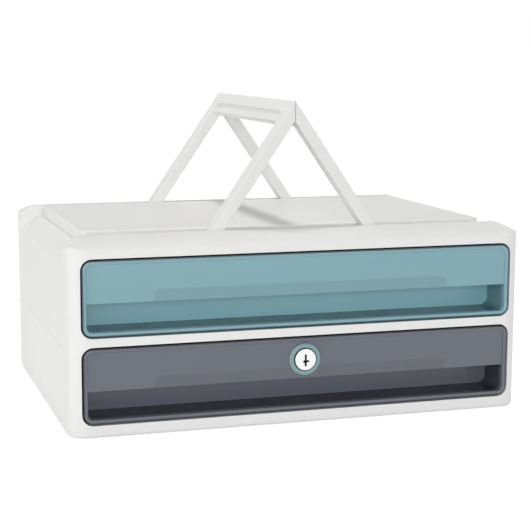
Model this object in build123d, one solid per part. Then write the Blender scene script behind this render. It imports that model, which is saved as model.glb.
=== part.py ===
from build123d import *
import math
import os

# File box with two drawers and a folding carrying handle.  Millimetres.
# +X to the right of someone facing the drawers, +Y towards the back, +Z up.
# The origin is on the surface that the box stands on, under the middle of the casing.

# ---- casing ----
BODY_WIDTH = 340.0
BODY_DEPTH = 254.0
FOOT_PROUD = 1.5            # the feet lift the casing by this much
TIER_SEAM_DROP = 3.9        # seam between the two tiers, below the lower opening's top edge
COVER_SEAM_DROP = 5.0       # seam under the top cover, below the upper opening's top edge
FRONT_RISE = 11.0           # from the cover seam to the front's top edge
BAR_RISE = 7.8              # from there to the ridge of the front and rear bars
PLATEAU_RISE = 8.5          # and to the flat of the top
WALL = 2.4
CORNER_RADIUS = 13.0        # vertical corners of the casing, in plan
BOTTOM_ROUND = 3.0
SEAM_CHAMFER = 0.45
EDGE_ROUND = 0.8

# ---- front frame ----
FRAME_DEPTH = 24.0
FRAME_LIP = 2.2             # wall round each opening
TONGUE_LENGTH = 5.0         # the frame's tongues inside the casings
TONGUE_WALL = 1.6
TONGUE_ROOT = 4.8           # and how far they reach back into the frame
FIT = 0.15                  # clearance round a tongue or a recessed plate

# ---- drawer openings ----
SIDE_BAR = 9.0              # frame beside each opening
OPENING_HEIGHT = 55.0
OPENING_RADIUS = 8.0
BOTTOM_BAR = 8.9
MIDDLE_BAR = 6.1

# ---- top cover ----
BAR_END_RUN = 12.6          # length of the bars' sloping ends
BAR_BULGE = 1.3             # how far the bars' tops bow up from a straight slope
SCOOP_BULGE = 2.3
PLATEAU_ROUND = 4.0
SNAP_LENGTH = 20.0          # four tabs hold the cover in the upper casing
SNAP_DROP = 7.0
SNAP_BEAD = 0.6
SNAP_SPACING = 90.0

# ---- carrying handle: two bails that lean together ----
ARM_ANGLE = 55.6            # arms to the horizontal, raised
GRIP_OVERHANG = 0.3         # folded grip beyond the casing's side, so that a fingertip finds it
ARM_THICKNESS = 8.0
ARM_DEPTH = 13.5            # along Y
GRIP_WIDTH = 17.2
LIP_WIDTH = 9.2             # full-thickness edge of the grip, above its thinner band
BAND_SINK = 1.6             # how far the band lies below the grip's outer face
BAND_CORNER = 6.5
BAIL_CORNER = 3.5
BAIL_ROUND = 0.7
PIVOT_RISE = 15.8           # above the cover's seam
PIVOT_OFFSET = 0.3          # pivot to the middle of the arm's thickness
SIDE_CLEARANCE = 0.5        # each side of an arm in its channel
UNDER_CLEARANCE = 0.5       # under a folded arm
GRIP_CLEARANCE = 0.3        # folded grip to the plateau's side
MITRE_GAP = 0.4             # between the two raised grips
PIN_RADIUS = 1.5
PIN_RUNNING_GAP = 0.05
PIN_SEAT = 7.0              # length of a pin in the cover's boss
PIN_END = 2.0               # and in the front frame or the rear bar
PIN_BOSS_RADIUS = 3.6

# ---- drawers ----
SLIDE_LENGTH = 180.0        # how far a drawer comes out
FRONT_GAP = 1.2             # between a drawer front and its opening
FRONT_THICKNESS = 5.0
RIM_WIDTH = 3.0
RIM_PROUD = 1.3
RIM_ROUND = 1.0
PANEL_THICKNESS = 2.2
PANEL_HEIGHT = 31.0         # from the opening's top edge to the pocket's top edge
TRAY_WALL = 2.0
TRAY_FLOOR = 2.4
TRAY_SIDE_GAP = 1.2         # tray to opening, each side
TRAY_FLOOR_GAP = 1.4        # tray to opening, below
TRAY_TOP_GAP = 5.0          # tray to opening, above
TRAY_LENGTH = 243.3         # behind the drawer front
TRAY_ROUND = 6.0
POCKET_DEPTH = 31.0
POCKET_ROUND = 6.0
NOTCH_WIDTH = 220.0         # groove for the fingertips, up behind the panel
NOTCH_DEPTH = 10.0
NOTCH_RISE = 8.4
NOTCH_ROUND = 6.0

# ---- drawer stops and glide rails ----
STOP_LENGTH = 12.0
STOP_WALL = 0.9
STOP_GRIP = 8.0             # how far the clip reaches down the tray's wall
STOP_CATCH = 1.5            # how far its tab stands above the opening's top edge
STOP_TAB_WIDTH = 6.0
STOP_TAB_INSET = 4.8
STOP_PLAY = 0.4
RAIL_WIDTH = 10.0
RAIL_INSET = 16.0           # middle of a rail from the opening's side
RAIL_MARGIN = 6.0
RAIL_CLEARANCE = 0.3
RAIL_ROUND = 0.4
PEG_RADIUS = 2.0
PEG_LENGTH = 1.4
SHELF_THICKNESS = 2.0
SHELF_DROP = 3.4            # upper opening's lower edge down to the shelf's underside

# ---- lock ----
LOCK_BELOW_TOP = 17.1       # lock axis below the lower opening's top edge
LOCK_RING_RADIUS = 11.7
LOCK_RING_THICKNESS = 2.4
LOCK_FACE_RADIUS = 8.6
BARREL_HEAD = 1.0
BARREL_RADIUS = 6.0
BARREL_LENGTH = 15.0
PLUG_RADIUS = 4.4
PLUG_HEAD_RADIUS = 7.8
PLUG_HEAD_DEPTH = 2.4
PLUG_ROUND = 0.4
KEYWAY_WIDTH = 1.5
KEYWAY_TOP = 3.8            # above the lock's axis
KEYWAY_BOTTOM = 4.8         # below it
WARD_TOP = 0.5              # the wards' upper edge, below the axis
WARD_HEIGHT = 1.8
WARD_LEFT = 1.9
WARD_RIGHT = 2.6
KEYWAY_DEPTH = 9.0
NUT_FLATS = 13.6
NUT_THICKNESS = 3.0
CAM_THICKNESS = 1.6
CAM_WIDTH = 9.0
CAM_ENTRY = 2.6             # how far the turned cam reaches past the keeper's face
CAM_SCREW_RADIUS = 1.2
CAM_SCREW_HEAD_RADIUS = 2.8
CAM_SCREW_HEAD = 1.6
CAM_SCREW_BITE = 5.0
LOCK_GAP = 0.05
LOCK_BOSS_WIDTH = 20.0
KEEPER_LENGTH = 40.0
KEEPER_WIDTH = 11.0
KEEPER_THICKNESS = 1.0
KEEPER_SLOT_LENGTH = 22.0
KEEPER_SLOT_WIDTH = 4.2
KEEPER_SLOT_DEPTH = 3.6
KEEPER_SCREW_SPACING = 31.0
KEEPER_SCREW_RADIUS = 0.9
KEEPER_SCREW_HEAD_RADIUS = 1.8
KEEPER_SCREW_HEAD = 0.9
KEEPER_SCREW_BITE = 3.0

# ---- feet and screws ----
FOOT_RADIUS = 7.0
FOOT_THICKNESS = 2.6
FOOT_ROUND = 0.5
FOOT_SIDE_INSET = 42.0
FOOT_FRONT_INSET = 40.0
FOOT_REAR_INSET = 24.0
POST_SIZE = 6.0
POST_FRONT = 48.0           # from the casing's front face
POST_REAR = 28.0            # from the casing's rear face
POST_TIP = 3.0              # upper posts beyond the screws' ends
SCREW_RADIUS = 1.3
SCREW_HEAD_RADIUS = 2.5
SCREW_HEAD = 1.8
SCREW_BITE = 12.0
SCREW_SINK = 0.3

# ---- worked out from the sizes above ----
PAST = 1.0                  # how far a cutting shape runs past the face that it cuts
FRONT_Y = -BODY_DEPTH / 2
REAR_Y = BODY_DEPTH / 2
HALF_WIDTH = BODY_WIDTH / 2
BASE_Z = FOOT_PROUD
HALF_OPENING = HALF_WIDTH - SIDE_BAR
LOWER_OPENING_Z = BASE_Z + BOTTOM_BAR
LOWER_OPENING_TOP_Z = LOWER_OPENING_Z + OPENING_HEIGHT
UPPER_OPENING_Z = LOWER_OPENING_TOP_Z + MIDDLE_BAR
UPPER_OPENING_TOP_Z = UPPER_OPENING_Z + OPENING_HEIGHT
SHELF_Z = UPPER_OPENING_Z - SHELF_DROP
TIER_Z = LOWER_OPENING_TOP_Z - TIER_SEAM_DROP
COVER_Z = UPPER_OPENING_TOP_Z - COVER_SEAM_DROP
FRONT_TOP_Z = COVER_Z + FRONT_RISE
RIDGE_Z = FRONT_TOP_Z + BAR_RISE
PLATEAU_Z = FRONT_TOP_Z + PLATEAU_RISE
FRAME_REAR_Y = FRONT_Y + FRAME_DEPTH
BAR_REAR_Y = REAR_Y - FRAME_DEPTH

# raised, the arms' outer faces meet at the apex; folded, the grips reach just past the casing's sides
SIN_ARM = math.sin(math.radians(ARM_ANGLE))
COS_ARM = math.cos(math.radians(ARM_ANGLE))
FOLDED_TIP_X = HALF_WIDTH + GRIP_OVERHANG
OUTER_FACE = ARM_THICKNESS / 2 + PIVOT_OFFSET
PIVOT_Z = COVER_Z + PIVOT_RISE
APEX_Z = PIVOT_Z + FOLDED_TIP_X * SIN_ARM / (1 + COS_ARM) + OUTER_FACE
PIVOT_X = ((APEX_Z - PIVOT_Z) * COS_ARM - OUTER_FACE) / SIN_ARM
ARM_REACH = FOLDED_TIP_X - PIVOT_X
FOLD_ANGLE = 180.0 - ARM_ANGLE
FOLDED_Z = PIVOT_Z - PIVOT_OFFSET
ARM_FRONT_Y = FRAME_REAR_Y + SIDE_CLEARANCE
CHANNEL_WIDTH = ARM_DEPTH + 2 * SIDE_CLEARANCE
CHANNEL_Z = FOLDED_Z - ARM_THICKNESS / 2 - UNDER_CLEARANCE
PLATEAU_HALF = FOLDED_TIP_X - GRIP_WIDTH - GRIP_CLEARANCE
PLATEAU_FRONT_Y = FRAME_REAR_Y + CHANNEL_WIDTH
PLATEAU_REAR_Y = BAR_REAR_Y - CHANNEL_WIDTH

TRAY_HALF = HALF_OPENING - TRAY_SIDE_GAP
TRAY_FRONT_Y = FRONT_Y + FRONT_THICKNESS
TRAY_REAR_Y = TRAY_FRONT_Y + TRAY_LENGTH
RIM_INNER_HALF = HALF_OPENING - FRONT_GAP - RIM_WIDTH
PANEL_Y = FRONT_Y + RIM_PROUD
PANEL_BACK_Y = PANEL_Y + PANEL_THICKNESS
POCKET_HALF = TRAY_HALF - TRAY_WALL
POCKET_BACK_Y = FRONT_Y + POCKET_DEPTH
NOTCH_BACK_Y = PANEL_BACK_Y + NOTCH_DEPTH

LOCK_Z = LOWER_OPENING_TOP_Z - LOCK_BELOW_TOP
LOCK_FRONT_Y = PANEL_Y - LOCK_RING_THICKNESS
BARREL_FRONT_Y = PANEL_Y - BARREL_HEAD
CAM_Y = PANEL_Y + BARREL_LENGTH
CAM_REACH = LOCK_BELOW_TOP + CAM_ENTRY
KEEPER_Y = CAM_Y + CAM_THICKNESS / 2

TONGUE_HALF = HALF_WIDTH - WALL - FIT
POST_X = HALF_WIDTH - WALL - POST_SIZE / 2
POST_YS = (FRONT_Y + POST_FRONT, REAR_Y - POST_REAR)
RAIL_X = HALF_OPENING - RAIL_INSET
RAIL_FRONT_Y = FRAME_REAR_Y + RAIL_MARGIN
RAIL_REAR_Y = REAR_Y - WALL - RAIL_MARGIN
FOOT_X = HALF_WIDTH - FOOT_SIDE_INSET
FOOT_YS = {"front": FRONT_Y + FOOT_FRONT_INSET, "rear": REAR_Y - FOOT_REAR_INSET}


def block(x0, x1, y0, y1, z0, z1):
    """A box between two corners, given in either order."""
    middle = Pos((x0 + x1) / 2, (y0 + y1) / 2, (z0 + z1) / 2)
    return middle * Box(abs(x1 - x0), abs(y1 - y0), abs(z1 - z0))


def rod(radius, start, end):
    """A cylinder from one point to another."""
    axis = Vector(*end) - Vector(*start)
    return extrude(Plane(origin=start, z_dir=axis) * Circle(radius), axis.length)


def lock_rod(radius, y0, y1):
    """A cylinder on the lock's axis."""
    return rod(radius, (0, y0, LOCK_Z), (0, y1, LOCK_Z))


def plan_prism(half_width, y0, y1, z0, z1, front_radius, rear_radius):
    """An upright prism, rounded at its front and rear corners in plan."""
    prism = block(-half_width, half_width, y0, y1, z0, z1)
    upright = prism.edges().filter_by(Axis.Z).sort_by(Axis.Y)
    if front_radius > 0:
        prism = fillet(upright[:2], front_radius)
        upright = prism.edges().filter_by(Axis.Z).sort_by(Axis.Y)
    if rear_radius > 0:
        prism = fillet(upright[-2:], rear_radius)
    return prism


def window(half_width, z0, z1, radius, y0, y1):
    """A prism along Y with a rounded rectangle for its section."""
    face = RectangleRounded(2 * half_width, z1 - z0, radius)
    place = Plane(origin=(0, y0, (z0 + z1) / 2), x_dir=(1, 0, 0), z_dir=(0, 1, 0))
    return extrude(place * face, y1 - y0)


def round_lengthwise(solid, radius, count, top=False):
    """Round the lowest, or the highest, edges that run along Y."""
    edges = solid.edges().filter_by(Axis.Y).sort_by(Axis.Z)
    return fillet(edges[-count:] if top else edges[:count], radius)


def along_depth(sketch, y0, y1):
    """A section in the XZ plane, extruded between two depths."""
    return Pos(0, y1, 0) * extrude(sketch, y1 - y0)


# ---------------------------------------------------------------- casing

def bar_solid(floor_z, shrink=0.0):
    """The front bar of the top, or the hollow inside it when shrunk."""
    ridge_z = RIDGE_Z - shrink
    low_z = FRONT_TOP_Z - shrink
    outer = -HALF_WIDTH + shrink
    ridge_x = -HALF_WIDTH + BAR_END_RUN + shrink / 2
    near = shrink
    far = FRAME_DEPTH - shrink
    with BuildSketch(Plane.YZ) as side_view:
        with BuildLine():
            middle = ((near + far) / 2, (low_z + ridge_z) / 2 + BAR_BULGE)
            slope = ThreePointArc((near, low_z), middle, (far, ridge_z))
            Polyline(slope @ 1, (far, floor_z), (near, floor_z), slope @ 0)
        make_face()
    along_x = Pos(0, FRONT_Y, 0) * extrude(side_view.sketch, HALF_WIDTH, both=True)
    with BuildSketch(Plane.XZ) as front_view:
        with BuildLine():
            middle = ((outer + ridge_x) / 2, (low_z + ridge_z) / 2 + BAR_BULGE / 2)
            left = ThreePointArc((outer, low_z), middle, (ridge_x, ridge_z))
            right = ThreePointArc((-outer, low_z), (-middle[0], middle[1]), (-ridge_x, ridge_z))
            Line(left @ 1, right @ 1)
            Polyline(right @ 0, (-outer, floor_z), (outer, floor_z), left @ 0)
        make_face()
    return along_x & extrude(front_view.sketch, BODY_DEPTH, both=True)


def frame_tongues():
    """Two tongues a side, from inside the frame's skin into the casings behind it."""
    tongues = []
    spans = ((BASE_Z + WALL + FIT, SHELF_Z - FIT), (SHELF_Z + SHELF_THICKNESS + FIT, COVER_Z))
    for side in (-1, 1):
        inner = side * (TONGUE_HALF - TONGUE_WALL)
        for z0, z1 in spans:
            tongue = block(inner, side * TONGUE_HALF, FRAME_REAR_Y, FRAME_REAR_Y + TONGUE_LENGTH, z0, z1)
            root = block(inner, side * (HALF_WIDTH - WALL / 2), FRAME_REAR_Y - TONGUE_ROOT,
                         FRAME_REAR_Y, z0, z1)
            tongues.append(tongue + root)
    return tongues


def front_frame():
    outer = plan_prism(HALF_WIDTH, FRONT_Y, FRAME_REAR_Y, BASE_Z, FRONT_TOP_Z, CORNER_RADIUS, 0)
    tall = plan_prism(HALF_WIDTH, FRONT_Y, FRAME_REAR_Y, BASE_Z, PLATEAU_Z, CORNER_RADIUS, 0)
    crown = bar_solid(FRONT_TOP_Z - EDGE_ROUND) & tall
    under = outer.faces().sort_by(Axis.Z)[0].edges()
    frame = fillet(under.filter_by(lambda e: e.center().Y < FRAME_REAR_Y - PAST), BOTTOM_ROUND) + crown

    # hollow behind the skin, between the walls round the two openings
    core = plan_prism(HALF_WIDTH - WALL, FRONT_Y + WALL, FRAME_REAR_Y, BASE_Z + WALL, CHANNEL_Z - WALL,
                      CORNER_RADIUS - WALL, 0)
    for floor_z in (LOWER_OPENING_Z, UPPER_OPENING_Z):
        core -= window(HALF_OPENING + FRAME_LIP, floor_z - FRAME_LIP, floor_z + OPENING_HEIGHT + FRAME_LIP,
                       OPENING_RADIUS + FRAME_LIP, FRONT_Y, FRAME_REAR_Y)
    # the middle bar is solid round the lock's keeper
    core -= block(-KEEPER_LENGTH, KEEPER_LENGTH, FRONT_Y, FRAME_REAR_Y,
                  LOWER_OPENING_TOP_Z, UPPER_OPENING_Z)
    # closed where the side scoops behind it dip below the hollow's top
    scoop_wall = block(-HALF_WIDTH, HALF_WIDTH, FRAME_REAR_Y - WALL, FRAME_REAR_Y, COVER_Z - WALL, CHANNEL_Z)
    core -= scoop_wall - along_depth(scoop_profile(WALL), FRAME_REAR_Y - WALL - PAST, FRAME_REAR_Y + PAST)
    frame -= core
    inside = plan_prism(HALF_WIDTH - WALL, FRONT_Y + WALL, FRAME_REAR_Y - WALL, BASE_Z, PLATEAU_Z,
                        CORNER_RADIUS - WALL, 0)
    frame -= bar_solid(UPPER_OPENING_Z + OPENING_HEIGHT + FRAME_LIP, WALL) & inside

    for floor_z in (LOWER_OPENING_Z, UPPER_OPENING_Z):
        frame -= window(HALF_OPENING, floor_z, floor_z + OPENING_HEIGHT, OPENING_RADIUS,
                        FRONT_Y - PAST, FRAME_REAR_Y + PAST)
    for tongue in frame_tongues():
        frame += tongue

    # recess and slot for the keeper, with its two screw holes
    z0 = LOWER_OPENING_TOP_Z
    frame -= block(-KEEPER_LENGTH / 2 - FIT, KEEPER_LENGTH / 2 + FIT, KEEPER_Y - KEEPER_WIDTH / 2 - FIT,
                   KEEPER_Y + KEEPER_WIDTH / 2 + FIT, z0, z0 + KEEPER_THICKNESS)
    frame -= keeper_slot(z0 + KEEPER_SLOT_DEPTH)
    for x in keeper_screw_xs():
        frame -= rod(KEEPER_SCREW_RADIUS, (x, KEEPER_Y, z0),
                     (x, KEEPER_Y, z0 + KEEPER_THICKNESS + KEEPER_SCREW_BITE))
    # holes for the ends of the handle's front pins
    for x in (-PIVOT_X, PIVOT_X):
        frame -= rod(PIN_RADIUS, (x, FRAME_REAR_Y - PIN_END, PIVOT_Z), (x, FRAME_REAR_Y + PAST, PIVOT_Z))
    return frame


def screw_places():
    return [(x, y) for x in (-POST_X, POST_X) for y in POST_YS]


def screw_post(x, y, z0, z1):
    return block(x - POST_SIZE / 2, x + POST_SIZE / 2, y - POST_SIZE / 2, y + POST_SIZE / 2, z0, z1)


def casing_shell(z0, z1):
    """A casing's outer prism, open at the front, with its seams bevelled later."""
    return plan_prism(HALF_WIDTH, FRAME_REAR_Y, REAR_Y, z0, z1, 0, CORNER_RADIUS)


def casing_room(z0, z1):
    return plan_prism(HALF_WIDTH - WALL, FRAME_REAR_Y - PAST, REAR_Y - WALL, z0, z1,
                      0, CORNER_RADIUS - WALL)


def outside_edges(shell, at_top):
    """The edges of a shell's top or bottom face, apart from the one against the front frame."""
    face = shell.faces().sort_by(Axis.Z)[-1 if at_top else 0]
    return face.edges().filter_by(lambda e: e.center().Y > FRAME_REAR_Y + PAST)


def lower_casing():
    casing = casing_shell(BASE_Z, TIER_Z)
    casing = fillet(outside_edges(casing, False), BOTTOM_ROUND)
    casing = chamfer(outside_edges(casing, True), SEAM_CHAMFER)
    casing -= casing_room(BASE_Z + WALL, TIER_Z + PAST)
    for x, y in screw_places():
        casing += screw_post(x, y, BASE_Z + WALL, TIER_Z)
        casing -= rod(SCREW_RADIUS, (x, y, BASE_Z - PAST), (x, y, TIER_Z + PAST))
        casing -= rod(SCREW_HEAD_RADIUS, (x, y, BASE_Z - PAST), (x, y, BASE_Z + SCREW_SINK + SCREW_HEAD))
    for x in (-FOOT_X, FOOT_X):
        for y in FOOT_YS.values():
            casing -= rod(FOOT_RADIUS, (x, y, BASE_Z - PAST), (x, y, FOOT_THICKNESS))
    for peg in rail_pegs(BASE_Z + WALL):
        casing -= peg
    return casing


def upper_casing():
    casing = casing_shell(TIER_Z, COVER_Z)
    casing = chamfer(outside_edges(casing, False), SEAM_CHAMFER)
    casing = chamfer(outside_edges(casing, True), SEAM_CHAMFER)
    casing -= casing_room(TIER_Z - PAST, COVER_Z + PAST)
    casing += plan_prism(HALF_WIDTH - WALL, FRAME_REAR_Y, REAR_Y - WALL, SHELF_Z, SHELF_Z + SHELF_THICKNESS,
                         0, CORNER_RADIUS - WALL)
    for x, y in screw_places():
        casing += screw_post(x, y, TIER_Z, TIER_Z + SCREW_BITE + POST_TIP)
        casing -= rod(SCREW_RADIUS, (x, y, TIER_Z - PAST), (x, y, TIER_Z + SCREW_BITE))
    for peg in rail_pegs(SHELF_Z + SHELF_THICKNESS):
        casing -= peg
    for side, y in snap_places():
        casing -= snap_bead(side, y, FIT)
    return casing


def scoop_profile(inset):
    """Section of the cover across the plateau and the two side scoops."""
    foot = (PLATEAU_HALF - inset, CHANNEL_Z - inset)
    edge = (HALF_WIDTH - inset, COVER_Z - inset)
    middle = ((foot[0] + edge[0]) / 2 + SCOOP_BULGE / 2, (foot[1] + edge[1]) / 2 + SCOOP_BULGE / 2)
    top_z = PLATEAU_Z - inset
    floor_z = edge[1] - WALL
    with BuildSketch(Plane.XZ) as section:
        with BuildLine():
            right = ThreePointArc(edge, middle, foot)
            left = ThreePointArc((-edge[0], edge[1]), (-middle[0], middle[1]), (-foot[0], foot[1]))
            Polyline(right @ 1, (foot[0], top_z), (-foot[0], top_z), left @ 1)
            Polyline(right @ 0, (edge[0], floor_z), (-edge[0], floor_z), left @ 0)
        make_face()
    return section.sketch


def snap_places():
    return [(side, y) for side in (-1, 1) for y in (-SNAP_SPACING / 2, SNAP_SPACING / 2)]


def snap_bead(side, y, clearance=0.0):
    """The ridge at the foot of a snap tab, or with a clearance the groove that it clicks into."""
    z0 = COVER_Z - SNAP_DROP
    half = SNAP_LENGTH / 2 + clearance
    return block(side * (TONGUE_HALF - TONGUE_WALL / 2), side * (TONGUE_HALF + SNAP_BEAD + clearance),
                 y - half, y + half, z0 - clearance, z0 + 2 * SNAP_BEAD + clearance)


def snap_tab(side, y):
    """A tab of the cover, from its rim down inside the upper casing's wall."""
    tab = block(side * (TONGUE_HALF - TONGUE_WALL), side * TONGUE_HALF, y - SNAP_LENGTH / 2,
                y + SNAP_LENGTH / 2, COVER_Z - SNAP_DROP, COVER_Z + EDGE_ROUND)
    return tab + snap_bead(side, y)


def top_cover():
    plan = plan_prism(HALF_WIDTH, FRAME_REAR_Y, REAR_Y, COVER_Z, PLATEAU_Z, 0, CORNER_RADIUS)
    deck = along_depth(scoop_profile(0), FRAME_REAR_Y, BAR_REAR_Y + PAST)
    # the plateau stops short of both bars, which leaves a channel for the arms
    for y0, y1 in ((FRAME_REAR_Y - PAST, PLATEAU_FRONT_Y), (PLATEAU_REAR_Y, BAR_REAR_Y + 2 * PAST)):
        deck -= block(-HALF_WIDTH, HALF_WIDTH, y0, y1, CHANNEL_Z, PLATEAU_Z + PAST)
    corners = deck.edges().filter_by(Axis.Z).filter_by(lambda e: e.center().Z > CHANNEL_Z)
    deck = fillet(corners, PLATEAU_ROUND)
    deck = fillet(deck.faces().sort_by(Axis.Z)[-1].edges(), EDGE_ROUND)
    rear_bar = mirror(bar_solid(COVER_Z), Plane.XZ)
    cover = (deck + rear_bar) & plan

    inside = plan_prism(HALF_WIDTH - WALL, FRAME_REAR_Y - PAST, REAR_Y - WALL, COVER_Z - PAST, PLATEAU_Z,
                        0, CORNER_RADIUS - WALL)
    low = along_depth(scoop_profile(WALL), FRAME_REAR_Y - PAST, REAR_Y - WALL)
    low &= block(-HALF_WIDTH, HALF_WIDTH, FRONT_Y, REAR_Y, COVER_Z - PAST, CHANNEL_Z - WALL)
    high = along_depth(scoop_profile(WALL), PLATEAU_FRONT_Y + WALL, PLATEAU_REAR_Y - WALL)
    under_bar = mirror(bar_solid(COVER_Z - PAST, WALL), Plane.XZ)
    cover -= (low + high + under_bar) & inside

    for x in (-PIVOT_X, PIVOT_X):
        for y, seat in ((PLATEAU_FRONT_Y, PIN_SEAT), (PLATEAU_REAR_Y, -PIN_SEAT)):
            cover += rod(PIN_BOSS_RADIUS, (x, y, PIVOT_Z), (x, y + seat, PIVOT_Z))
        cover -= rod(PIN_RADIUS, (x, PLATEAU_FRONT_Y - PAST, PIVOT_Z),
                     (x, PLATEAU_FRONT_Y + PIN_SEAT, PIVOT_Z))
        cover -= rod(PIN_RADIUS, (x, PLATEAU_REAR_Y - PIN_SEAT, PIVOT_Z),
                     (x, BAR_REAR_Y + PIN_END, PIVOT_Z))
    for side, y in snap_places():
        cover += snap_tab(side, y)
    return cover


def foot(x, y):
    pad = rod(FOOT_RADIUS, (x, y, 0), (x, y, FOOT_THICKNESS))
    return fillet(pad.edges().sort_by(Axis.Z)[:1], FOOT_ROUND)


def upward_screw(x, y, z0, z1, radius, head_radius, head):
    """A cross-recessed pan-head screw driven upwards, its head at z0."""
    screw = rod(head_radius, (x, y, z0), (x, y, z0 + head)) + rod(radius, (x, y, z0 + head), (x, y, z1))
    slot = radius / 4
    depth = head / 2
    screw -= block(x - slot, x + slot, y - radius, y + radius, z0, z0 + depth)
    screw -= block(x - radius, x + radius, y - slot, y + slot, z0, z0 + depth)
    return screw


def casing_screws():
    z0 = BASE_Z + SCREW_SINK
    return Compound(children=[upward_screw(x, y, z0, TIER_Z + SCREW_BITE, SCREW_RADIUS, SCREW_HEAD_RADIUS,
                                           SCREW_HEAD) for x, y in screw_places()])


# ---------------------------------------------------------------- drawers

def rail_pegs(floor_z, rise=PAST):
    """Pegs that locate the two glide rails in a floor."""
    ys = (RAIL_FRONT_Y + RAIL_WIDTH, (RAIL_FRONT_Y + RAIL_REAR_Y) / 2, RAIL_REAR_Y - RAIL_WIDTH)
    return [rod(PEG_RADIUS, (x, y, floor_z - PEG_LENGTH), (x, y, floor_z + rise))
            for x in (-RAIL_X, RAIL_X) for y in ys]


def glide_rail(side, floor_z, opening_z):
    x = side * RAIL_X
    top_z = opening_z + TRAY_FLOOR_GAP - RAIL_CLEARANCE
    rail = block(x - RAIL_WIDTH / 2, x + RAIL_WIDTH / 2, RAIL_FRONT_Y, RAIL_REAR_Y, floor_z, top_z)
    rail = round_lengthwise(rail, RAIL_ROUND, 2, top=True)
    for peg in rail_pegs(floor_z, (top_z - floor_z) / 2):
        if peg.center().X * side > 0:
            rail += peg
    return rail


def pocket_roof_z(opening_z):
    return opening_z + OPENING_HEIGHT - PANEL_HEIGHT


def notch_air(opening_z, with_lock):
    """The fingertip groove behind the panel; on a locking drawer it stops short of the lock."""
    roof_z = pocket_roof_z(opening_z)
    notch = window(NOTCH_WIDTH / 2, roof_z - NOTCH_RISE, roof_z + NOTCH_RISE, NOTCH_ROUND,
                   PANEL_BACK_Y, NOTCH_BACK_Y)
    if with_lock:
        notch -= block(-LOCK_BOSS_WIDTH / 2, LOCK_BOSS_WIDTH / 2, FRONT_Y, REAR_Y,
                       roof_z, roof_z + NOTCH_RISE + PAST)
    return notch


def pocket_roof(opening_z, with_lock):
    """Shelf over the finger pocket, with a raised hood over the fingertip groove."""
    roof_z = pocket_roof_z(opening_z)
    shelf_z = roof_z + TRAY_WALL
    hood = window(NOTCH_WIDTH / 2 + TRAY_WALL, roof_z - NOTCH_RISE, shelf_z + NOTCH_RISE,
                  NOTCH_ROUND + TRAY_WALL, PANEL_BACK_Y, NOTCH_BACK_Y + TRAY_WALL)
    hood &= block(-HALF_WIDTH, HALF_WIDTH, FRONT_Y, REAR_Y, roof_z, shelf_z + NOTCH_RISE + PAST)
    if with_lock:
        inner = LOCK_BOSS_WIDTH / 2 - TRAY_WALL
        hood -= block(-inner, inner, FRONT_Y, REAR_Y, shelf_z, shelf_z + NOTCH_RISE + PAST)
    shelf = block(-POCKET_HALF, POCKET_HALF, TRAY_FRONT_Y, POCKET_BACK_Y + TRAY_WALL, roof_z, shelf_z)
    # its front edge reaches forward inside the drawer front's rim, up to the panel
    shelf += block(-RIM_INNER_HALF, RIM_INNER_HALF, PANEL_BACK_Y, TRAY_FRONT_Y, roof_z, shelf_z)
    return shelf + hood - notch_air(opening_z, with_lock)


def drawer_front(opening_z, with_lock):
    """Rim all round, with a thin panel over its upper part; the pocket opens below the panel."""
    half = RIM_INNER_HALF + RIM_WIDTH
    z0 = opening_z + FRONT_GAP
    z1 = opening_z + OPENING_HEIGHT - FRONT_GAP
    radius = OPENING_RADIUS - FRONT_GAP
    inner_radius = radius - RIM_WIDTH
    front = window(half, z0, z1, radius, FRONT_Y, TRAY_FRONT_Y)
    front -= window(RIM_INNER_HALF, z0 + RIM_WIDTH, z1 - RIM_WIDTH, inner_radius,
                    FRONT_Y - PAST, TRAY_FRONT_Y + PAST)
    front = fillet(front.faces().sort_by(Axis.Y)[0].edges(), RIM_ROUND)
    panel_z = pocket_roof_z(opening_z)
    edge_half = half - RIM_WIDTH / 2
    front += window(edge_half, panel_z, z1 - RIM_WIDTH / 2, inner_radius, PANEL_Y, PANEL_BACK_Y)
    front += block(-edge_half, edge_half, PANEL_Y, PANEL_BACK_Y, panel_z, panel_z + NOTCH_RISE)
    if with_lock:
        front -= lock_rod(BARREL_RADIUS + LOCK_GAP, FRONT_Y, TRAY_FRONT_Y)
    return front


def drawer_tray(opening_z):
    bottom_z = opening_z + TRAY_FLOOR_GAP
    floor_z = bottom_z + TRAY_FLOOR
    top_z = opening_z + OPENING_HEIGHT - TRAY_TOP_GAP
    roof_z = pocket_roof_z(opening_z)
    tray = plan_prism(TRAY_HALF, TRAY_FRONT_Y, TRAY_REAR_Y, bottom_z, top_z, 0, TRAY_ROUND)
    tray = round_lengthwise(tray, POCKET_ROUND + TRAY_WALL, 2)
    room = plan_prism(POCKET_HALF, POCKET_BACK_Y + TRAY_WALL, TRAY_REAR_Y - TRAY_WALL,
                      floor_z, top_z + PAST, 0, TRAY_ROUND - TRAY_WALL)
    tray -= round_lengthwise(room, POCKET_ROUND, 2)
    tray -= block(-POCKET_HALF, POCKET_HALF, TRAY_FRONT_Y, POCKET_BACK_Y + TRAY_WALL, roof_z, top_z + PAST)
    pocket = block(-POCKET_HALF, POCKET_HALF, TRAY_FRONT_Y, POCKET_BACK_Y, floor_z, roof_z)
    return tray - round_lengthwise(pocket, POCKET_ROUND, 2)


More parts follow.
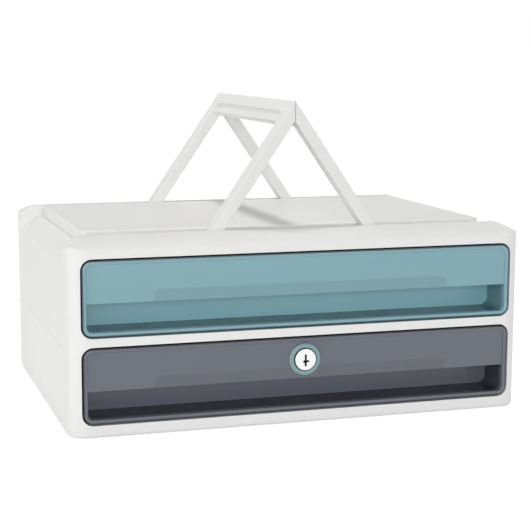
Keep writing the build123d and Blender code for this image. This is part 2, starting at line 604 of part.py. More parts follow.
def drawer_stops(opening_z):
    """Two clips over the tray's side walls, with tabs that meet the frame when the drawer is out."""
    y0 = FRAME_REAR_Y + SLIDE_LENGTH + STOP_PLAY
    y1 = y0 + STOP_LENGTH
    top_z = opening_z + OPENING_HEIGHT - TRAY_TOP_GAP
    bridge_z = top_z + 2 * STOP_WALL
    clips = []
    for side in (-1, 1):
        wall_in = side * (TRAY_HALF - TRAY_WALL)
        clip = block(wall_in - side * STOP_WALL, side * (TRAY_HALF + STOP_WALL), y0, y1,
                     top_z - STOP_GRIP, bridge_z)
        clip -= block(wall_in, side * TRAY_HALF, y0, y1, top_z - STOP_GRIP, top_z)
        tab_out = wall_in - side * STOP_TAB_INSET
        tab_in = tab_out - side * STOP_TAB_WIDTH
        clip += block(tab_in, wall_in, y0, y1, top_z, bridge_z)
        clip += block(tab_in, tab_out, y0, y1, top_z, opening_z + OPENING_HEIGHT + STOP_CATCH)
        clips.append(clip)
    return Compound(children=clips)


# ---------------------------------------------------------------- handle

def arm_outline():
    """Side view of a folded left arm: flat bar, round at the pivot end."""
    reach = ARM_REACH + ARM_THICKNESS
    with BuildSketch(Plane.XZ) as outline:
        with Locations((-PIVOT_X - reach / 2, FOLDED_Z)):
            Rectangle(reach, ARM_THICKNESS)
        with Locations((-PIVOT_X, FOLDED_Z)):
            Circle(ARM_THICKNESS / 2)
    return outline.sketch


def left_bail():
    """Made folded out flat, then raised about its pins and mitred to meet the right bail."""
    y0 = ARM_FRONT_Y
    y1 = -ARM_FRONT_Y
    under_z = FOLDED_Z - ARM_THICKNESS / 2
    tip_x = -PIVOT_X - ARM_REACH
    inner_x = tip_x + GRIP_WIDTH
    opening = block(inner_x, 0, y0 + ARM_DEPTH, y1 - ARM_DEPTH,
                    under_z - PAST, under_z + ARM_THICKNESS + PAST)
    opening = fillet(opening.edges().filter_by(Axis.Z).sort_by(Axis.X)[:2], BAIL_CORNER)
    bail = along_depth(arm_outline(), y0, y1) - opening
    bail = fillet(bail.edges().filter_by(Axis.X), BAIL_ROUND)
    # the grip's lower band is thinner than its lip, and sweeps down into the arms
    band = block(tip_x + LIP_WIDTH, inner_x + BAND_CORNER, y0 + ARM_DEPTH, y1 - ARM_DEPTH,
                 under_z - PAST, under_z + BAND_SINK)
    bail -= fillet(band.edges().filter_by(Axis.Z).sort_by(Axis.X)[:2], BAND_CORNER)
    bail -= rod(PIN_RADIUS + PIN_RUNNING_GAP, (-PIVOT_X, y0 - PAST, PIVOT_Z),
                (-PIVOT_X, y1 + PAST, PIVOT_Z))
    bail = bail.rotate(Axis((-PIVOT_X, 0, PIVOT_Z), (0, 1, 0)), FOLD_ANGLE)
    return bail & block(-BODY_WIDTH, -MITRE_GAP / 2, FRONT_Y, REAR_Y, 0, APEX_Z)


def handle_pin(x, at_front):
    if at_front:
        y0, y1 = FRAME_REAR_Y - PIN_END, PLATEAU_FRONT_Y + PIN_SEAT
    else:
        y0, y1 = PLATEAU_REAR_Y - PIN_SEAT, BAR_REAR_Y + PIN_END
    return rod(PIN_RADIUS, (x, y0, PIVOT_Z), (x, y1, PIVOT_Z))


# ---------------------------------------------------------------- lock

def lock_ring():
    ring = lock_rod(LOCK_RING_RADIUS, LOCK_FRONT_Y, PANEL_Y)
    ring = fillet(ring.edges().sort_by(Axis.Y)[:1], LOCK_RING_THICKNESS / 2)
    return ring - lock_rod(LOCK_FACE_RADIUS, LOCK_FRONT_Y, PANEL_Y)


def lock_barrel():
    barrel = lock_rod(LOCK_FACE_RADIUS, BARREL_FRONT_Y, PANEL_Y)
    barrel += lock_rod(BARREL_RADIUS, PANEL_Y, CAM_Y - LOCK_GAP)
    return barrel - lock_rod(PLUG_RADIUS + LOCK_GAP, BARREL_FRONT_Y, CAM_Y)


def lock_plug():
    back_y = BARREL_FRONT_Y - LOCK_GAP
    face_y = back_y - PLUG_HEAD_DEPTH
    plug = lock_rod(PLUG_HEAD_RADIUS, face_y, back_y)
    plug = fillet(plug.edges().sort_by(Axis.Y)[:1], PLUG_ROUND)
    plug += lock_rod(PLUG_RADIUS, back_y, CAM_Y)
    # a warded keyway: an upright slot with a step to each side
    end_y = face_y + KEYWAY_DEPTH
    ward_z = LOCK_Z - WARD_TOP
    plug -= block(-KEYWAY_WIDTH / 2, KEYWAY_WIDTH / 2, face_y, end_y,
                  LOCK_Z - KEYWAY_BOTTOM, LOCK_Z + KEYWAY_TOP)
    plug -= block(-WARD_LEFT, 0, face_y, end_y, ward_z - WARD_HEIGHT, ward_z)
    plug -= block(0, WARD_RIGHT, face_y, end_y, ward_z - WARD_HEIGHT * 3 / 4, ward_z)
    return plug - lock_rod(CAM_SCREW_RADIUS, CAM_Y - CAM_SCREW_BITE, CAM_Y)


def lock_nut():
    hexagon = RegularPolygon(NUT_FLATS / 2, 6, major_radius=False)
    place = Plane(origin=(0, PANEL_BACK_Y, LOCK_Z), x_dir=(1, 0, 0), z_dir=(0, 1, 0))
    nut = extrude(place * hexagon, NUT_THICKNESS)
    return nut - lock_rod(BARREL_RADIUS, PANEL_BACK_Y, PANEL_BACK_Y + NUT_THICKNESS)


def lock_cam():
    """Flat lever on the plug's end; it points to the right when unlocked, and up when locked."""
    with BuildSketch(Plane(origin=(0, CAM_Y, LOCK_Z), x_dir=(1, 0, 0), z_dir=(0, 1, 0))) as outline:
        SlotCenterToCenter(CAM_REACH - CAM_WIDTH / 2, CAM_WIDTH)
    cam = Pos((CAM_REACH - CAM_WIDTH / 2) / 2, 0, 0) * extrude(outline.sketch, CAM_THICKNESS)
    return cam - lock_rod(CAM_SCREW_RADIUS, CAM_Y, CAM_Y + CAM_THICKNESS)


def cam_screw():
    head_y = CAM_Y + CAM_THICKNESS
    end_y = head_y + CAM_SCREW_HEAD
    screw = lock_rod(CAM_SCREW_RADIUS, CAM_Y - CAM_SCREW_BITE, head_y)
    screw += lock_rod(CAM_SCREW_HEAD_RADIUS, head_y, end_y)
    slot = CAM_SCREW_RADIUS / 3
    return screw - block(-CAM_SCREW_HEAD_RADIUS, CAM_SCREW_HEAD_RADIUS, end_y - CAM_SCREW_HEAD / 2, end_y,
                         LOCK_Z - slot, LOCK_Z + slot)


def keeper_slot(z1):
    return block(-KEEPER_SLOT_LENGTH / 2, KEEPER_SLOT_LENGTH / 2, KEEPER_Y - KEEPER_SLOT_WIDTH / 2,
                 KEEPER_Y + KEEPER_SLOT_WIDTH / 2, LOWER_OPENING_TOP_Z, z1)


def keeper_screw_xs():
    return (-KEEPER_SCREW_SPACING / 2, KEEPER_SCREW_SPACING / 2)


def lock_keeper():
    z0 = LOWER_OPENING_TOP_Z
    z1 = z0 + KEEPER_THICKNESS
    plate = block(-KEEPER_LENGTH / 2, KEEPER_LENGTH / 2, KEEPER_Y - KEEPER_WIDTH / 2,
                  KEEPER_Y + KEEPER_WIDTH / 2, z0, z1)
    for x in keeper_screw_xs():
        plate -= rod(KEEPER_SCREW_RADIUS, (x, KEEPER_Y, z0), (x, KEEPER_Y, z1))
    return plate - keeper_slot(z1)


def keeper_screws():
    z0 = LOWER_OPENING_TOP_Z - KEEPER_SCREW_HEAD
    z1 = LOWER_OPENING_TOP_Z + KEEPER_THICKNESS + KEEPER_SCREW_BITE
    return Compound(children=[upward_screw(x, KEEPER_Y, z0, z1, KEEPER_SCREW_RADIUS,
                                           KEEPER_SCREW_HEAD_RADIUS, KEEPER_SCREW_HEAD)
                              for x in keeper_screw_xs()])


# ---------------------------------------------------------------- everything

def all_parts():
    parts = {
        "front_frame": front_frame(),
        "lower_casing": lower_casing(),
        "upper_casing": upper_casing(),
        "top_cover": top_cover(),
        "casing_screws": casing_screws(),
        "lock_keeper": lock_keeper(),
        "keeper_screws": keeper_screws(),
        "lock_ring": lock_ring(),
        "lock_barrel": lock_barrel(),
        "lock_nut": lock_nut(),
        "lock_plug": lock_plug(),
        "lock_cam": lock_cam(),
        "cam_screw": cam_screw(),
        "left_bail": left_bail(),
        "right_bail": mirror(left_bail(), Plane.YZ),
    }
    tiers = {
        "lower": (LOWER_OPENING_Z, BASE_Z + WALL, True),
        "upper": (UPPER_OPENING_Z, SHELF_Z + SHELF_THICKNESS, False),
    }
    for tier, (opening_z, floor_z, with_lock) in tiers.items():
        parts[tier + "_drawer_front"] = drawer_front(opening_z, with_lock)
        parts[tier + "_drawer_tray"] = drawer_tray(opening_z)
        parts[tier + "_pocket_roof"] = pocket_roof(opening_z, with_lock)
        parts[tier + "_drawer_stops"] = drawer_stops(opening_z)
        parts[tier + "_left_glide_rail"] = glide_rail(-1, floor_z, opening_z)
        parts[tier + "_right_glide_rail"] = glide_rail(1, floor_z, opening_z)
    for name, side in (("left", -1), ("right", 1)):
        parts[name + "_front_handle_pin"] = handle_pin(side * PIVOT_X, True)
        parts[name + "_rear_handle_pin"] = handle_pin(side * PIVOT_X, False)
        for end, y in FOOT_YS.items():
            parts[f"{end}_{name}_foot"] = foot(side * FOOT_X, y)
    return parts


def main():
    os.makedirs("parts", exist_ok=True)
    print("handle pivots at x", round(PIVOT_X, 3), "z", round(PIVOT_Z, 3), "fold", round(FOLD_ANGLE, 2))
    print("lock axis z", round(LOCK_Z, 3), "apex z", round(APEX_Z, 2))
    for name, solid in all_parts().items():
        export_step(solid, os.path.join("parts", name + ".step"))


main()
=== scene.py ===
import math

import bpy
from mathutils import Matrix, Vector


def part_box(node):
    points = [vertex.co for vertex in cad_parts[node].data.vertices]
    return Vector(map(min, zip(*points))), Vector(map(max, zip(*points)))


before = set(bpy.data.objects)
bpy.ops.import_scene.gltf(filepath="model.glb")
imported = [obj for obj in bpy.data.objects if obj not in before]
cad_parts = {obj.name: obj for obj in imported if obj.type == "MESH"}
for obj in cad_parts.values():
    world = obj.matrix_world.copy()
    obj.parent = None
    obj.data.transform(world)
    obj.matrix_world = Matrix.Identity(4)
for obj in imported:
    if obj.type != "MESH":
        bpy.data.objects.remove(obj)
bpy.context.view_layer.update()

bl_info = {
    "name": "File box finishes",
    "version": (1, 0, 0),
    "blender": (4, 5, 0),
    "location": "3D View > Sidebar > File box",
    "description": "Finishes, stage and camera for the file box with two drawers and a folding handle",
    "category": "Object",
}

MM = 0.001
WHITE = (1.0, 1.0, 1.0, 1.0)

# moulded and plated surfaces
PLASTIC_IOR = 1.49
NOISE_RANGE = (0.3, 0.7)            # nearly all of a noise's values lie between these
CLOUD_SIZE = 70 * MM                # faint cloudiness of the casing's white
WAVE_SIZE = 35 * MM                 # and the waviness of its walls
WAVE_HEIGHT = 0.04 * MM
FLOW_SIZE = 50 * MM                 # flow lines in the drawers' plastic, drawn out along X
FLOW_STRETCH = (0.25, 1, 1.6)
RIPPLE_SIZE = 30 * MM
RIPPLE_STRETCH = (0.4, 1, 1)
RIPPLE_HEIGHT = 0.03 * MM
BRUSH_SIZE = 0.6 * MM
BRUSH_DEPTH = 0.006 * MM
PLASTIC_PATCH = 12 * MM             # patches of slightly different gloss
DRAWER_PATCH = 20 * MM
METAL_PATCH = 4 * MM

# drawers
PANEL_COAT = 0.25                   # extra gloss of a drawer's front
COAT_ROUGHNESS = 0.08
TRAY_SHINE = 0.3                    # and the duller inside of the drawer
# painted shade on a drawer's front: darker where the fingertip groove behind it would show through, and a
# dark line round the rim for the gap's shadow
GROOVE_DROP = 29.8 * MM             # from a drawer front's top down to the middle of the groove's outline
GROOVE_HALF = (110 * MM, 8.4 * MM)
GROOVE_CORNER = 6 * MM
GROOVE_SOFTNESS = 0.35 * MM
RIM_CORNER = 6 * MM
RIM_EDGE = 0.9 * MM                 # width of the dark line round the rim
RIM_SOFTNESS = 0.25 * MM
# painted light and shade in the finger pocket: below, how much its floor, ends and back wall are darkened
# or lightened by which way they face
POCKET_BACK_SETBACK = 1.7 * MM      # the pocket's shading ends this far in front of its roof's rear edge
TEAL_POCKET_PAINTED_SHADING = (0.38, 0.8, 1.3)      # brightness of the pocket's floor, ends and back wall
SMOKE_POCKET_PAINTED_SHADING = (0.25, 0.45, 1.05)

# lock
# painted shade in the keyway: behind this depth the plug is dark and dull
KEYWAY_START = 0.5 * MM             # how far behind the plug's face its keyway is dark
KEYWAY_PAINTED_SHADE = (0.01, 0.01, 0.01, 1.0)
BARREL_GREY = (0.05, 0.06, 0.065)

# stage
FLOOR_HALF = 4.0
FLOOR_SEEN_SHARE = 0.27             # how much of its own light and shadow the floor shows the camera
FLOOR_LIFT = 0.93                   # and what is added to that
SKY_FADE = (0.25, 0.7)              # upward parts of the directions between which the even light fades
LAMP_TARGET = (0.0, 0.0, 0.08)
FRONT_LAMP_PLACE = (-0.4, -2.3, 0.42)
SIDE_LAMP_PLACE = (-2.3, -0.5, 0.42)
LOW_LAMP_SIZE = 0.7
TOP_LAMP_PLACE = (0.05, 0.0, 1.6)
TOP_LAMP_SIZE = 0.25
TOP_LAMP_COLOUR = (1.0, 0.985, 0.95)

# camera, in the CAD frame
CAMERA_PLACE = Vector((-0.324979, -1.066558, 0.265643))
CAMERA_YAW = math.radians(17.4409)
CAMERA_PITCH = math.radians(8.5652)
CAMERA_ROLL = math.radians(0.2187)
CAMERA_LENS = 96.0908
SENSOR_WIDTH = 36.0
CLIP_START = 0.01
CLIP_END = 30.0


# ---------------------------------------------------------------- sizes and colours

def colour_property(name, description, default):
    return bpy.props.FloatVectorProperty(
        name=name, description=description, subtype="COLOR", size=3, min=0.0, max=1.0, default=default)


def share_property(name, description, default):
    return bpy.props.FloatProperty(
        name=name, description=description, subtype="FACTOR", min=0.0, max=1.0, default=default)


def length_property(name, description, default):
    return bpy.props.FloatProperty(
        name=name, description=description, subtype="DISTANCE", unit="LENGTH", min=0.0, default=default)


def strength_property(name, description, default):
    return bpy.props.FloatProperty(name=name, description=description, min=0.0, default=default)


class CasingFinish(bpy.types.PropertyGroup):
    white: colour_property(
        "Casing white", "Colour of the front shell, the two casings and the cover", (0.85, 0.85, 0.845))
    # the bails are a little darker than the casing: partly their own greyer tone, partly painted shade
    # for their darker faces
    handle_white: colour_property(
        "Handle white", "Colour of the two handle bails", (0.80, 0.80, 0.795))
    roughness: share_property("Roughness", "How matt the moulded plastic is", 0.42)
    grain: length_property("Grain size", "Distance between the dimples of the moulded grain", 0.0009)
    grain_depth: length_property("Grain depth", "Depth of the moulded grain", 0.000012)


class DrawerFinish(bpy.types.PropertyGroup):
    teal: colour_property(
        "Blue-green plastic", "Colour of the upper drawer", (0.215, 0.405, 0.455))
    smoke: colour_property(
        "Smoke plastic", "Colour of the lower drawer", (0.130, 0.142, 0.174))
    roughness: share_property("Roughness", "How matt the drawers are", 0.22)
    # painted shade: the panel is darkened where the groove behind it would show through, and along the
    # gap round the rim
    groove_shade: share_property(
        "Groove shade", "How much the fingertip groove darkens the panel in front of it", 0.13)
    edge_shade: share_property(
        "Edge shade", "How much the gap round the rim darkens its outer edge", 0.62)


class LockFinish(bpy.types.PropertyGroup):
    collar: colour_property("Collar", "Colour of the collar round the lock", (0.220, 0.365, 0.380))
    plate: colour_property("Plug", "Colour of the plated plug", (0.77, 0.77, 0.77))


class HardwareFinish(bpy.types.PropertyGroup):
    zinc: colour_property("Zinc", "Colour of the screws, pins, cam and keeper", (0.60, 0.60, 0.59))
    nylon: colour_property("Nylon", "Colour of the glide rails and drawer stops", (0.74, 0.73, 0.69))
    rubber: colour_property("Rubber", "Colour of the feet", (0.045, 0.045, 0.047))


class StageLook(bpy.types.PropertyGroup):
    floor: colour_property("Floor", "Colour of the floor", (0.92, 0.92, 0.92))
    front_light: strength_property("Front light", "Strength of the low light in front", 13.0)
    side_light: strength_property("Side light", "Strength of the low light at the left", 9.5)
    top_light: strength_property("Top light", "Strength of the light straight above", 8.5)
    low_sky: strength_property("Low sky", "Strength of the even light near the horizon", 1.1)
    high_sky: strength_property("High sky", "Strength of the even light overhead", 0.03)


# ---------------------------------------------------------------- node helpers

class Finish:
    """A node material under construction, with short ways to add and join nodes."""

    def __init__(self, name):
        self.material = bpy.data.materials.new(name)
        self.material.use_nodes = True
        self.tree = self.material.node_tree
        self.shader = self.tree.nodes["Principled BSDF"]
        self.place = self.tree.nodes.new("ShaderNodeTexCoord").outputs["Object"]

    def add(self, kind, **inputs):
        node = self.tree.nodes.new(kind)
        for name, value in inputs.items():
            self.put(node.inputs[name.replace("_", " ")], value)
        return node

    def put(self, socket, value):
        if isinstance(value, bpy.types.NodeSocket):
            self.tree.links.new(value, socket)
        else:
            socket.default_value = value

    def calc(self, operation, *values):
        node = self.tree.nodes.new("ShaderNodeMath")
        node.operation = operation
        for socket, value in zip(node.inputs, values):
            self.put(socket, value)
        return node.outputs[0]

    def noise(self, size, detail=2.0, stretch=(1, 1, 1)):
        """Noise whose blotches are about the given size, in metres."""
        scaled = self.add("ShaderNodeMapping", Vector=self.place, Scale=stretch).outputs[0]
        return self.add("ShaderNodeTexNoise", Vector=scaled, Scale=1 / size, Detail=detail).outputs[0]

    def ramp(self, value, start, end):
        """A value carried from one range to another."""
        node = self.add("ShaderNodeMapRange", Value=value)
        for name, ends in (("From", start), ("To", end)):
            node.inputs[f"{name} Min"].default_value, node.inputs[f"{name} Max"].default_value = ends
        return node

    def uneven(self, middle, spread_down, spread_up, size):
        """A roughness that varies a little over blotches of the given size."""
        ends = (middle - spread_down, middle + spread_up)
        return self.ramp(self.noise(size), NOISE_RANGE, ends).outputs[0]

    def mix(self, factor, one, other):
        node = self.tree.nodes.new("ShaderNodeMix")
        node.data_type = "RGBA"
        self.put(node.inputs[0], factor)
        self.put(node.inputs[6], one)
        self.put(node.inputs[7], other)
        return node.outputs[2]

    def bump(self, height, distance, under=None):
        node = self.add("ShaderNodeBump", Height=height, Distance=distance)
        if under is not None:
            self.put(node.inputs["Normal"], under)
        return node.outputs[0]

    def shade(self, **inputs):
        for name, value in inputs.items():
            self.put(self.shader.inputs[name.replace("_", " ")], value)
        return self


def rgba(colour, times=1.0):
    return (colour[0] * times, colour[1] * times, colour[2] * times, 1.0)


def moulded_plastic(name, colour, roughness, grain, depth, variation=0.012):
    """Satin injection-moulded plastic: fine grain, faint cloudiness and slightly uneven gloss."""
    finish = Finish(name)
    cloud = finish.noise(CLOUD_SIZE, 1.0)
    tint = finish.mix(cloud, rgba(colour, 1 - variation), rgba(colour, 1 + variation))
    gloss = finish.uneven(roughness, 0.04, 0.04, PLASTIC_PATCH)
    waviness = finish.bump(finish.noise(WAVE_SIZE, 0.0), WAVE_HEIGHT)
    dimples = finish.bump(finish.noise(grain), depth, under=waviness)
    return finish.shade(Base_Color=tint, Roughness=gloss, Normal=dimples, IOR=PLASTIC_IOR).material


def clear_moulding(name, colour, roughness, shadings, coat=0.0, shine=0.5):
    """Glossy tinted plastic, opaque, with faint flow lines and painted light and shade where the shadings
    put it: the shade of what would show through, of the gap round the rim and in the pocket.
    """
    finish = Finish(name)
    flow = finish.noise(FLOW_SIZE, 1.0, FLOW_STRETCH)
    tint = finish.mix(flow, rgba(colour, 0.975), rgba(colour, 1.025))
    # painted light and shade, mixed into the colour where each mask lies
    for where, share in shadings(finish):
        tint = finish.mix(where, tint, rgba(colour, share))
    gloss = finish.uneven(roughness, 0.05, 0.05, DRAWER_PATCH)
    ripples = finish.bump(finish.noise(RIPPLE_SIZE, 0.0, RIPPLE_STRETCH), RIPPLE_HEIGHT)
    finish.shade(Base_Color=tint, Roughness=gloss, Normal=ripples, IOR=PLASTIC_IOR)
    finish.shade(Specular_IOR_Level=shine, Coat_Weight=coat, Coat_Roughness=COAT_ROUGHNESS)
    return finish.material


def plated_metal(name, colour, roughness, streak=(1, 1, 1), painted_shade_behind=None):
    """Bright plating with fine brushing; deeper than the given depth it is painted dark and dull, as
    shade in the keyway.
    """
    finish = Finish(name)
    lines = finish.noise(BRUSH_SIZE, stretch=streak)
    tint = finish.mix(lines, rgba(colour, 0.95), rgba(colour, 1.03))
    metallic = 1.0
    if painted_shade_behind is not None:
        # painted shade: behind the given depth the plating is dark and not metallic, as the keyway's
        # hollow
        depth = finish.add("ShaderNodeSeparateXYZ", Vector=finish.place).outputs[1]
        keyway_shade = finish.calc("GREATER_THAN", depth, painted_shade_behind)
        tint = finish.mix(keyway_shade, tint, KEYWAY_PAINTED_SHADE)
        metallic = finish.calc("SUBTRACT", 1.0, keyway_shade)
    gloss = finish.uneven(roughness, 0.05, 0.07, METAL_PATCH)
    normal = finish.bump(lines, BRUSH_DEPTH)
    return finish.shade(Base_Color=tint, Roughness=gloss, Normal=normal, Metallic=metallic).material


def rubber(name, colour):
    """Matt dark rubber with a fine, uneven skin."""
    finish = Finish(name)
    tint = finish.mix(finish.noise(3 * MM, 3.0), rgba(colour, 0.8), rgba(colour, 1.3))
    skin = finish.bump(finish.noise(0.7 * MM, 3.0), 0.05 * MM)
    return finish.shade(Base_Color=tint, Roughness=0.85, Normal=skin).material


def inside_rounded_box(finish, centre, half, corner, softness):
    """1 inside a rounded rectangle in the XZ plane and 0 outside it, over a soft edge."""
    axes = finish.add("ShaderNodeSeparateXYZ", Vector=finish.place).outputs
    squares = []
    for along, middle, extent in zip((axes[0], axes[2]), centre, half):
        away = finish.calc("ABSOLUTE", finish.calc("SUBTRACT", along, middle))
        reach = finish.calc("MAXIMUM", finish.calc("SUBTRACT", away, extent - corner), 0.0)
        squares.append(finish.calc("MULTIPLY", reach, reach))
    outside = finish.calc("SUBTRACT", finish.calc("SQRT", finish.calc("ADD", *squares)), corner)
    edge = finish.ramp(outside, (-softness, softness), (1.0, 0.0))
    edge.interpolation_type = "SMOOTHSTEP"
    return edge.outputs[0]


def front_painted_shading(look, front):
    """Painted shade on a drawer front: darker where the fingertip groove behind the panel would show
    through, and a dark line round the rim for the gap's shadow.
    """
    low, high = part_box(front)
    middle = (0.0, (low.z + high.z) / 2)
    inner = (high.x - RIM_EDGE, (high.z - low.z) / 2 - RIM_EDGE)

    def shadings(finish):
        groove = inside_rounded_box(
            finish, (0.0, high.z - GROOVE_DROP), GROOVE_HALF, GROOVE_CORNER, GROOVE_SOFTNESS)
        rim = inside_rounded_box(finish, middle, inner, RIM_CORNER - RIM_EDGE, RIM_SOFTNESS)
        edge = finish.calc("SUBTRACT", 1.0, rim)
        return (groove, 1 - look.groove_shade), (edge, 1 - look.edge_shade)
    return shadings


def pocket_painted_shading(roof, floor_share, end_share, back_share):
    """Painted light and shade in the finger pocket, by which way each face points: the back wall is
    painted lightest, the ends darker and the floor darkest.
    """
    pocket_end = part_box(roof)[1].y - POCKET_BACK_SETBACK

    def shadings(finish):
        depth = finish.add("ShaderNodeSeparateXYZ", Vector=finish.place).outputs[1]
        painted_pocket_shade = finish.calc("LESS_THAN", depth, pocket_end)
        normal = finish.add("ShaderNodeNewGeometry").outputs["Normal"]
        facing = finish.add("ShaderNodeSeparateXYZ", Vector=normal).outputs
        ends, back = (finish.calc("MULTIPLY", painted_pocket_shade, finish.calc("POWER", part, 2.0))
                      for part in facing[:2])
        return (painted_pocket_shade, floor_share), (ends, end_share), (back, back_share)
    return shadings


def paint(material, slot, *nodes):
    """Give CAD nodes a finish."""
    for name in nodes:
        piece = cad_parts[name]
        for place in piece.material_slots:
            place.material = material
        if not piece.material_slots:
            piece.data.materials.append(material)


# ---------------------------------------------------------------- operators

class FILEBOX_OT_casing(bpy.types.Operator):
    """Finish the front shell, the casings and the top cover in satin white"""
    bl_idname = "filebox.casing"
    bl_label = "Casing"

    def execute(self, context):
        look = context.scene.filebox_casing
        white = moulded_plastic(
            "casing_white", look.white, look.roughness, look.grain, look.grain_depth)
        paint(white, "casing", "front_frame", "lower_casing", "upper_casing", "top_cover")
        return {"FINISHED"}


class FILEBOX_OT_handle(bpy.types.Operator):
    """Finish the two bails of the carrying handle"""
    bl_idname = "filebox.handle"
    bl_label = "Handle"

    def execute(self, context):
        look = context.scene.filebox_casing
        white = moulded_plastic(
            "handle_white", look.handle_white, look.roughness, look.grain, look.grain_depth)
        paint(white, "handle", "left_bail", "right_bail")
        return {"FINISHED"}


def paint_drawer(look, tier, slot, colour, pocket):
    """Finish a drawer's front, and its tray with the pocket's roof."""
    # painted shade on the front for the groove and the gap round the rim, and painted light and shade in
    # the pocket
    painted_groove_and_gap_shade = front_painted_shading(look, f"{tier}_drawer_front")
    painted_pocket_shade = pocket_painted_shading(f"{tier}_pocket_roof", *pocket)
    panel = clear_moulding(f"{slot}_panel", colour, look.roughness, painted_groove_and_gap_shade, coat=PANEL_COAT)
    tray = clear_moulding(f"{slot}_tray", colour, look.roughness, painted_pocket_shade, shine=TRAY_SHINE)
    paint(panel, slot, f"{tier}_drawer_front")
    paint(tray, slot, f"{tier}_drawer_tray", f"{tier}_pocket_roof")


class FILEBOX_OT_upper_drawer(bpy.types.Operator):
    """Finish the upper drawer in blue-green plastic"""
    bl_idname = "filebox.upper_drawer"
    bl_label = "Upper drawer"

    def execute(self, context):
        look = context.scene.filebox_drawers
        paint_drawer(look, "upper", "teal", look.teal, TEAL_POCKET_PAINTED_SHADING)
        return {"FINISHED"}


class FILEBOX_OT_lower_drawer(bpy.types.Operator):
    """Finish the lower drawer in smoke plastic"""
    bl_idname = "filebox.lower_drawer"
    bl_label = "Lower drawer"

    def execute(self, context):
        look = context.scene.filebox_drawers
        paint_drawer(look, "lower", "smoke", look.smoke, SMOKE_POCKET_PAINTED_SHADING)
        return {"FINISHED"}


class FILEBOX_OT_lock(bpy.types.Operator):
    """Finish the cam lock: collar, plug, barrel and what is behind them"""
    bl_idname = "filebox.lock"
    bl_label = "Lock"

    def execute(self, context):
        look = context.scene.filebox_lock
        zinc = context.scene.filebox_hardware.zinc
        plug_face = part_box("lock_plug")[0].y
        collar = moulded_plastic("lock_collar", look.collar, 0.3, grain=0.6 * MM, depth=0.006 * MM)
        plug = plated_metal("lock_plug_plate", look.plate, 0.5, painted_shade_behind=plug_face + KEYWAY_START)
        barrel = plated_metal("lock_barrel_zinc", BARREL_GREY, 0.45)
        steel = plated_metal("lock_steel", zinc, 0.35, streak=(1, 1, 8))
        paint(collar, "teal_trim", "lock_ring")
        paint(plug, "lock_chrome", "lock_plug")
        paint(barrel, "dark_barrel", "lock_barrel")
        paint(steel, "screw_steel", "lock_nut", "lock_cam", "cam_screw", "lock_keeper", "keeper_screws")
        return {"FINISHED"}


class FILEBOX_OT_hardware(bpy.types.Operator):
    """Finish the screws, pins, glide rails, stops and feet"""
    bl_idname = "filebox.hardware"
    bl_label = "Hardware"

    def execute(self, context):
        look = context.scene.filebox_hardware
        steel = plated_metal("screw_zinc", look.zinc, 0.35)
        nylon = moulded_plastic(
            "natural_nylon", look.nylon, 0.55, grain=1.2 * MM, depth=0.02 * MM, variation=0.03)
        sole = rubber("foot_rubber", look.rubber)
        corners = [(side, end) for side in ("left", "right") for end in ("front", "rear")]
        pins = [f"{side}_{end}_handle_pin" for side, end in corners]
        feet = [f"{end}_{side}_foot" for side, end in corners]
        rails = [f"{tier}_{side}_glide_rail" for tier in ("lower", "upper") for side in ("left", "right")]
        paint(steel, "screw_steel", "casing_screws", *pins)
        paint(nylon, "nylon", "lower_drawer_stops", "upper_drawer_stops", *rails)
        paint(sole, "foot_rubber", *feet)
        return {"FINISHED"}


# ---------------------------------------------------------------- stage

def camera_matrix():
    """Where the camera stands and how it is turned."""
    level = math.cos(CAMERA_PITCH)
    forward = Vector(
        (math.sin(CAMERA_YAW) * level, math.cos(CAMERA_YAW) * level, -math.sin(CAMERA_PITCH)))
    right = Vector((math.cos(CAMERA_YAW), -math.sin(CAMERA_YAW), 0.0))
    up = right.cross(forward)
    tilted_right = right * math.cos(CAMERA_ROLL) + up * math.sin(CAMERA_ROLL)
    tilted_up = up * math.cos(CAMERA_ROLL) - right * math.sin(CAMERA_ROLL)
    turn = Matrix((tilted_right, tilted_up, -forward)).transposed()
    return Matrix.Translation(CAMERA_PLACE) @ turn.to_4x4()


def area_light(name, place, size, power, colour=(1, 1, 1)):
    """A round lamp that faces the box."""
    lamp = bpy.data.lights.new(name, "AREA")
    lamp.shape = "DISK"
    lamp.size = size
    lamp.energy = power
    lamp.color = colour
    holder = bpy.data.objects.new(name, lamp)
    holder.location = place
    holder.rotation_euler = (Vector(LAMP_TARGET) - Vector(place)).to_track_quat("-Z", "Y").to_euler()
    bpy.context.collection.objects.link(holder)


def seen_directly(tree):
    """1 for rays from the camera, mirror reflections and see-through surfaces."""
    path = tree.nodes.new("ShaderNodeLightPath")
    total = path.outputs["Is Camera Ray"]
    for name in ("Is Glossy Ray", "Is Transmission Ray"):
        join = tree.nodes.new("ShaderNodeMath")
        join.operation = "MAXIMUM"
        tree.links.new(total, join.inputs[0])
        tree.links.new(path.outputs[name], join.inputs[1])
        total = join.outputs[0]
    return total


def choose_shader(tree, unseen, seen, output):
    """One shader for light on the object, another where the surface is seen."""
    choose = tree.nodes.new("ShaderNodeMixShader")
    tree.links.new(seen_directly(tree), choose.inputs[0])
    tree.links.new(unseen.outputs[0], choose.inputs[1])
    tree.links.new(seen.outputs[0], choose.inputs[2])
    tree.links.new(choose.outputs[0], tree.nodes[output].inputs["Surface"])


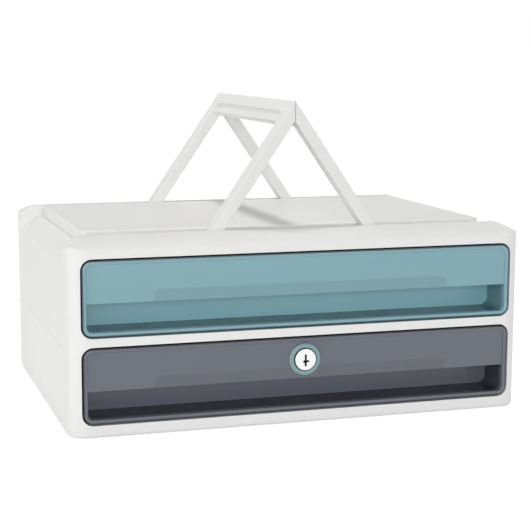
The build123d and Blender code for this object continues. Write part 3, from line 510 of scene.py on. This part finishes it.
def white_floor(colour):
    """Plain pale floor; where it is seen it is lifted to white, and keeps a faint shadow."""
    finish = Finish("floor_white")
    finish.shade(Base_Color=rgba(colour), Roughness=0.9)
    soft = finish.add("ShaderNodeBsdfDiffuse", Color=rgba(colour, FLOOR_SEEN_SHARE))
    lift = finish.add("ShaderNodeEmission", Color=WHITE, Strength=FLOOR_LIFT)
    lifted = finish.tree.nodes.new("ShaderNodeAddShader")
    finish.put(lifted.inputs[0], soft.outputs[0])
    finish.put(lifted.inputs[1], lift.outputs[0])
    choose_shader(finish.tree, finish.shader, lifted, "Material Output")
    return finish.material


def make_floor(colour):
    mesh = bpy.data.meshes.new("floor")
    corners = [(x * FLOOR_HALF, y * FLOOR_HALF, 0) for x, y in ((-1, -1), (1, -1), (1, 1), (-1, 1))]
    mesh.from_pydata(corners, [], [(0, 1, 2, 3)])
    mesh.materials.append(white_floor(colour))
    floor = bpy.data.objects.new("floor", mesh)
    bpy.context.collection.objects.link(floor)


def sky_strength(tree, look):
    """Even light that is stronger near the horizon than overhead."""
    direction = tree.nodes.new("ShaderNodeTexCoord").outputs["Generated"]
    axes = tree.nodes.new("ShaderNodeSeparateXYZ")
    tree.links.new(direction, axes.inputs[0])
    fade = tree.nodes.new("ShaderNodeMapRange")
    tree.links.new(axes.outputs[2], fade.inputs["Value"])
    fade.inputs["From Min"].default_value, fade.inputs["From Max"].default_value = SKY_FADE
    fade.inputs["To Min"].default_value = look.low_sky
    fade.inputs["To Max"].default_value = look.high_sky
    return fade.outputs[0]


def make_surroundings(look):
    """Soft light from all round, and white where the surroundings are seen."""
    world = bpy.data.worlds.new("surroundings")
    bpy.context.scene.world = world
    world.use_nodes = True
    tree = world.node_tree
    even = tree.nodes["Background"]
    even.inputs["Color"].default_value = WHITE
    tree.links.new(sky_strength(tree, look), even.inputs["Strength"])
    white = tree.nodes.new("ShaderNodeBackground")
    white.inputs["Color"].default_value = WHITE
    white.inputs["Strength"].default_value = 1.0
    choose_shader(tree, even, white, "World Output")


def make_camera():
    lens = bpy.data.cameras.new("camera")
    lens.sensor_width = SENSOR_WIDTH
    lens.lens = CAMERA_LENS
    lens.clip_start = CLIP_START
    lens.clip_end = CLIP_END
    camera = bpy.data.objects.new("camera", lens)
    bpy.context.collection.objects.link(camera)
    camera.matrix_world = camera_matrix()
    bpy.context.scene.camera = camera


class FILEBOX_OT_stage(bpy.types.Operator):
    """Make the floor, the lights, the white surroundings and the camera"""
    bl_idname = "filebox.stage"
    bl_label = "Stage"

    def execute(self, context):
        look = context.scene.filebox_stage
        make_floor(look.floor)
        make_surroundings(look)
        area_light("front_light", FRONT_LAMP_PLACE, LOW_LAMP_SIZE, look.front_light)
        area_light("side_light", SIDE_LAMP_PLACE, LOW_LAMP_SIZE, look.side_light)
        area_light("top_light", TOP_LAMP_PLACE, TOP_LAMP_SIZE, look.top_light, TOP_LAMP_COLOUR)
        make_camera()
        context.scene.view_settings.view_transform = "Standard"
        return {"FINISHED"}


class FILEBOX_PT_panel(bpy.types.Panel):
    """Sizes, colours and steps of the file box"""
    bl_idname = "FILEBOX_PT_panel"
    bl_label = "File box"
    bl_space_type = "VIEW_3D"
    bl_region_type = "UI"
    bl_category = "File box"

    def draw(self, context):
        for name, group in GROUPS.items():
            box = self.layout.box()
            for prop in group.__annotations__:
                box.prop(getattr(context.scene, name), prop)
        for operator in OPERATORS:
            self.layout.operator(operator.bl_idname)


GROUPS = {
    "filebox_casing": CasingFinish,
    "filebox_drawers": DrawerFinish,
    "filebox_lock": LockFinish,
    "filebox_hardware": HardwareFinish,
    "filebox_stage": StageLook,
}
OPERATORS = (
    FILEBOX_OT_stage,
    FILEBOX_OT_casing,
    FILEBOX_OT_handle,
    FILEBOX_OT_upper_drawer,
    FILEBOX_OT_lower_drawer,
    FILEBOX_OT_lock,
    FILEBOX_OT_hardware,
)


def register():
    for group in GROUPS.values():
        bpy.utils.register_class(group)
    for operator in OPERATORS:
        bpy.utils.register_class(operator)
    bpy.utils.register_class(FILEBOX_PT_panel)
    for name, group in GROUPS.items():
        setattr(bpy.types.Scene, name, bpy.props.PointerProperty(type=group))


def unregister():
    for name in GROUPS:
        delattr(bpy.types.Scene, name)
    bpy.utils.unregister_class(FILEBOX_PT_panel)
    for operator in reversed(OPERATORS):
        bpy.utils.unregister_class(operator)
    for group in reversed(list(GROUPS.values())):
        bpy.utils.unregister_class(group)


def main():
    register()
    bpy.ops.filebox.stage()
    bpy.ops.filebox.casing()
    bpy.ops.filebox.handle()
    bpy.ops.filebox.upper_drawer()
    bpy.ops.filebox.lower_drawer()
    bpy.ops.filebox.lock()
    bpy.ops.filebox.hardware()


if __name__ == "__main__":
    main()
